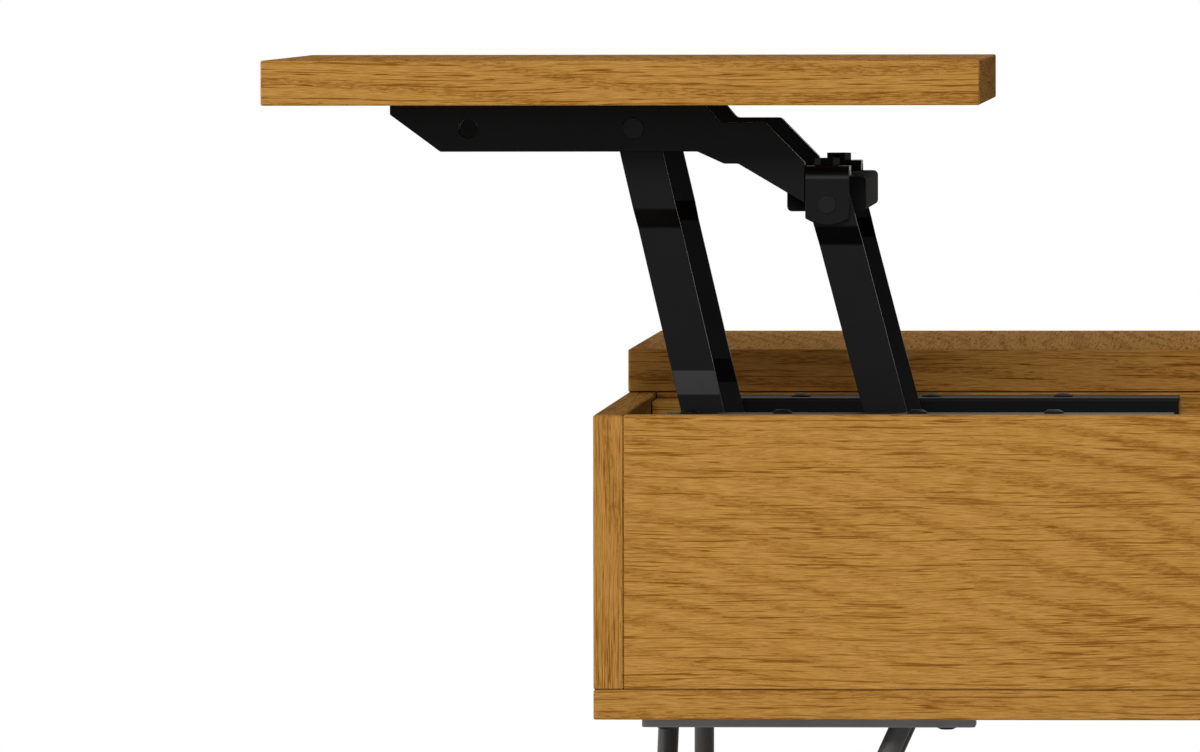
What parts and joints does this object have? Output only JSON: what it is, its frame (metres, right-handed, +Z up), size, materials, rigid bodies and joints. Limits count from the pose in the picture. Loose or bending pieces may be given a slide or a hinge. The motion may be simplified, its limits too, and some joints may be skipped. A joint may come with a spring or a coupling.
{
  "type": "lift top coffee table",
  "caption": "Square oak coffee table on steel hairpin legs, with a quarter of its top that lifts level and forward on black four-bar hinges over an open storage box.",
  "frame": {"origin": "on the floor, in the middle of the table's outline with its lift top raised and forward", "axes": "+Z up, +X from the user's seat at the front to the table's back, +Y from the side with the lift top to the other side"},
  "size_m": [1.0626, 0.864, 0.6558],
  "materials": {
    "oak_box": "oiled oak boards",
    "oak_rails": "plain oak rails",
    "oak_tops": "oiled oak tops",
    "leg_steel": "dark grey satin powder coat",
    "hinge_steel": "black satin paint",
    "pivot_steel": "black oxide",
    "fastener_steel": "black oxide",
    "bumper_rubber": "matte",
    "cap_plastic": "fine grain"
  },
  "bodies": {
    "base": {"back_fixed_top": "oak_tops", "back_panel": "oak_box", "base_rail_screws": "fastener_steel", "bottom_panel": "oak_box", "centre_rail": "oak_rails", "cross_rail": "oak_rails", "far_back_hairpin": "leg_steel", "far_back_leg_plate": "leg_steel", "far_base_rail": "hinge_steel", "far_batten": "oak_rails", "far_fixed_top": "oak_tops", "far_front_hairpin": "leg_steel", "far_front_leg_plate": "leg_steel", "far_side_panel": "oak_box", "front_base_pins": "pivot_steel", "front_panel": "oak_box", "leg_screws": "fastener_steel", "lift_top_bumpers": "bumper_rubber", "near_back_hairpin": "leg_steel", "near_back_leg_plate": "leg_steel", "near_base_rail": "hinge_steel", "near_batten": "oak_rails", "near_front_hairpin": "leg_steel", "near_front_leg_plate": "leg_steel", "near_side_panel": "oak_box", "pivot_spacers": "pivot_steel", "rear_base_pins": "pivot_steel"},
    "near_front_arm": {"near_front_arm": "hinge_steel"},
    "far_front_arm": {"far_front_arm": "hinge_steel"},
    "near_rear_arm": {"near_rear_arm": "hinge_steel"},
    "far_rear_arm": {"far_rear_arm": "hinge_steel"},
    "lift_top": {"lift_top": "oak_tops", "near_top_rail": "hinge_steel", "far_top_rail": "hinge_steel", "top_rail_screws": "fastener_steel", "cross_bar": "hinge_steel", "cross_bar_caps": "cap_plastic", "near_hanger_bracket": "hinge_steel", "far_hanger_bracket": "hinge_steel", "bracket_packers": "hinge_steel", "bracket_bolts": "fastener_steel", "front_top_pins": "pivot_steel", "rear_top_pins": "pivot_steel"}
  },
  "joints": [
    {"name": "lift", "type": "hinge", "parent": "base", "child": "near_front_arm", "pos_m": [-0.30376, -0.21725, 0.424], "axis": [0, 1, 0], "range_deg": [0, 90.4]},
    {"name": "far_front_arm_turn", "type": "hinge", "parent": "base", "child": "far_front_arm", "pos_m": [-0.30376, -0.21725, 0.424], "axis": [0, 1, 0], "range_deg": [0, 90.4]},
    {"name": "near_rear_arm_turn", "type": "hinge", "parent": "base", "child": "near_rear_arm", "pos_m": [-0.18716, -0.21725, 0.3781], "axis": [0, 1, 0], "range_deg": [0, 90.4]},
    {"name": "far_rear_arm_turn", "type": "hinge", "parent": "base", "child": "far_rear_arm", "pos_m": [-0.18716, -0.21725, 0.3781], "axis": [0, 1, 0], "range_deg": [0, 90.4]},
    {"name": "top_level", "type": "hinge", "parent": "near_front_arm", "child": "lift_top", "pos_m": [-0.3122, -0.21725, 0.6141], "axis": [0, 1, 0], "range_deg": [-90.4, 0]}
  ],
  "couplings": [
    {"joint": "far_front_arm_turn", "follows": "lift", "ratio": 1},
    {"joint": "near_rear_arm_turn", "follows": "lift", "ratio": 1},
    {"joint": "far_rear_arm_turn", "follows": "lift", "ratio": 1},
    {"joint": "top_level", "follows": "lift", "ratio": -1}
  ]
}
